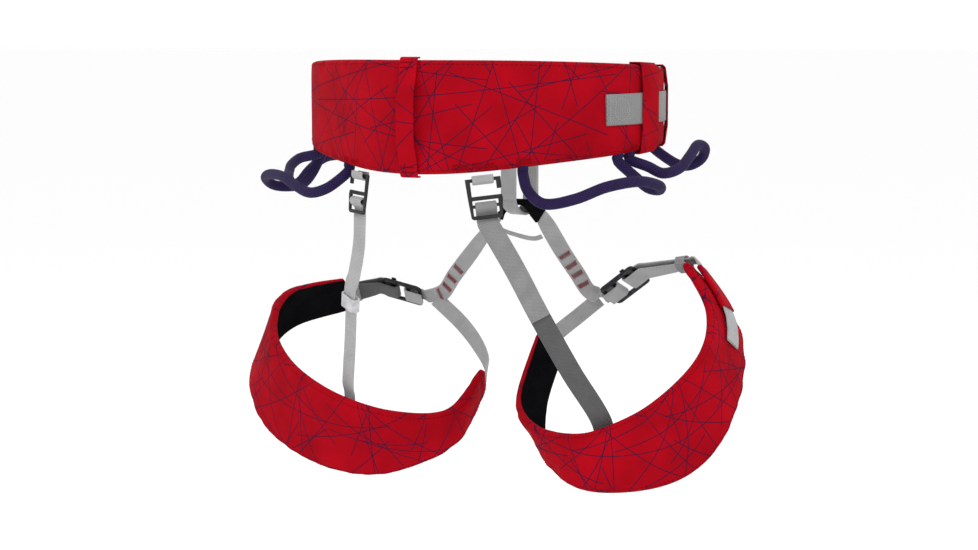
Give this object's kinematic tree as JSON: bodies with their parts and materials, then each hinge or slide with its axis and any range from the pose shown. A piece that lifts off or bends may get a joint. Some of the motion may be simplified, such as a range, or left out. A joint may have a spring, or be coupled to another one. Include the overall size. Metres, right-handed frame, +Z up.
{
  "type": "climbing harness",
  "caption": "Padded sit harness: waist belt, belay loop, gear loops, haul loop and adjustable leg loops hung on rear riser straps.",
  "frame": {"origin": "centre of the waist opening, half-way up the belt at its sides", "axes": "+Z up, -Y towards the wearer's front, +Y rear, -X the wearer's right"},
  "size_m": [0.3946, 0.2301, 0.3162],
  "materials": {
    "black_lining": "brushed mesh lining",
    "black_plastic": "moulded, satin",
    "buckle_metal": "dark anodised, satin",
    "dark_red_fabric": "woven cover fabric",
    "dark_webbing": "dark-grey woven webbing",
    "foam": "closed-cell padding",
    "grey_plastic": "moulded, satin",
    "grey_webbing": "mid-grey woven webbing",
    "light_webbing": "light-grey woven webbing",
    "purple_cord": "woven tubular sleeve over a stiff core",
    "red_fabric": "woven, printed cover"
  },
  "bodies": {
    "belt": {"belt_shell": "red_fabric", "belt_foam": "foam", "belt_lining": "black_lining", "waist_webbing": "grey_webbing", "waist_webbing_tail": "light_webbing", "waist_buckle_frame": "buckle_metal", "belt_keeper_rear": "dark_red_fabric", "belt_keeper_front": "dark_red_fabric", "haul_loop": "red_fabric", "tie_in_loop": "grey_webbing", "bridge_cross_strap": "light_webbing", "riser_left_tab": "light_webbing", "riser_right_tab": "light_webbing", "riser_left_adjuster": "grey_plastic"},
    "waist_slider": {"waist_buckle_slider": "buckle_metal"},
    "belay": {"belay_loop": "light_webbing"},
    "leg_left": {"leg_left_shell": "red_fabric", "leg_left_foam": "foam", "leg_left_lining": "black_lining", "leg_left_webbing": "grey_webbing", "leg_left_tunnel": "dark_red_fabric", "leg_left_keeper": "grey_webbing", "leg_left_buckle_frame": "buckle_metal", "bridge_left": "light_webbing", "bridge_left_protector": "black_lining", "crotch_strap_left": "light_webbing", "riser_left_lower_strap": "light_webbing"},
    "leg_right": {"leg_right_shell": "red_fabric", "leg_right_foam": "foam", "leg_right_lining": "black_lining", "leg_right_webbing": "grey_webbing", "leg_right_tunnel": "dark_red_fabric", "leg_right_keeper": "grey_webbing", "leg_right_buckle_frame": "buckle_metal", "bridge_right": "light_webbing", "bridge_right_protector": "black_lining", "crotch_strap_right": "light_webbing", "riser_right_lower_strap": "dark_webbing"},
    "leg_left_slider": {"leg_left_buckle_slider": "buckle_metal"},
    "leg_right_slider": {"leg_right_buckle_slider": "buckle_metal"},
    "hook_left": {"riser_left_hook": "black_plastic", "riser_left_upper_strap": "light_webbing"},
    "hook_right": {"riser_right_hook": "black_plastic", "riser_right_upper_strap": "grey_webbing"},
    "gear_loop_left_front_body": {"gear_loop_left_front": "purple_cord"},
    "gear_loop_left_rear_body": {"gear_loop_left_rear": "purple_cord"},
    "gear_loop_right_front_body": {"gear_loop_right_front": "purple_cord"},
    "gear_loop_right_rear_body": {"gear_loop_right_rear": "purple_cord"}
  },
  "joints": [
    {"name": "belay_loop_swing", "type": "hinge", "parent": "belt", "child": "belay", "pos_m": [0.006, -0.0935, 0.015], "axis": [0.9397, -0.342, 0], "range_deg": [-0.8, 0.5]},
    {"name": "leg_left_lift", "type": "hinge", "parent": "belt", "child": "leg_left", "pos_m": [0.006, -0.0935, -0.072], "axis": [1, 0, 0], "range_deg": [-6, 12], "stiffness_Nm_per_rad": 0.6, "deforming": ["riser_left_lower_strap", "bridge_cross_strap"]},
    {"name": "leg_right_lift", "type": "hinge", "parent": "belt", "child": "leg_right", "pos_m": [0.006, -0.0935, -0.072], "axis": [1, 0, 0], "range_deg": [-6, 12], "stiffness_Nm_per_rad": 0.6, "deforming": ["riser_right_lower_strap"]},
    {"name": "riser_left_hook_swing", "type": "hinge", "parent": "belt", "child": "hook_left", "pos_m": [0.05122, 0.07861, -0.04309], "axis": [-0.8547, 0.5174, -0.0426], "range_deg": [-6, 6], "deforming": ["riser_left_upper_strap"]},
    {"name": "riser_right_hook_swing", "type": "hinge", "parent": "belt", "child": "hook_right", "pos_m": [-0.0476, 0.08075, -0.04346], "axis": [-0.8598, -0.4978, 0.1138], "range_deg": [-6, 6], "deforming": ["riser_right_upper_strap"]},
    {"name": "leg_left_buckle_slide", "type": "slide", "parent": "leg_left", "child": "leg_left_slider", "axis": [0.9669, 0.1221, 0.2239], "range_m": [0, 0.003]},
    {"name": "leg_right_buckle_slide", "type": "slide", "parent": "leg_right", "child": "leg_right_slider", "axis": [-0.799, 0.0499, 0.5993], "range_m": [0, 0.003]},
    {"name": "waist_buckle_slide", "type": "slide", "parent": "belt", "child": "waist_slider", "axis": [-0.942, -0.3355, 0], "range_m": [0, 0.0018]},
    {"name": "gear_loop_right_rear_flex", "type": "hinge", "parent": "belt", "child": "gear_loop_right_rear_body", "pos_m": [-0.09696, 0.04044, -0.03602], "axis": [0.7113, 0.6947, -0.1071], "range_deg": [-10, 15], "stiffness_Nm_per_rad": 0.12},
    {"name": "gear_loop_right_front_flex", "type": "hinge", "parent": "belt", "child": "gear_loop_right_front_body", "pos_m": [-0.12238, -0.027, -0.02809], "axis": [-0.1434, 0.9855, -0.091], "range_deg": [-10, 15], "stiffness_Nm_per_rad": 0.12},
    {"name": "gear_loop_left_rear_flex", "type": "hinge", "parent": "belt", "child": "gear_loop_left_rear_body", "pos_m": [0.09848, 0.03068, -0.03518], "axis": [0.644, -0.7576, 0.1064], "range_deg": [-10, 15], "stiffness_Nm_per_rad": 0.12},
    {"name": "gear_loop_left_front_flex", "type": "hinge", "parent": "belt", "child": "gear_loop_left_front_body", "pos_m": [0.12041, -0.02174, -0.02866], "axis": [-0.0546, -0.9941, 0.0938], "range_deg": [-5, 15], "stiffness_Nm_per_rad": 0.12}
  ]
}
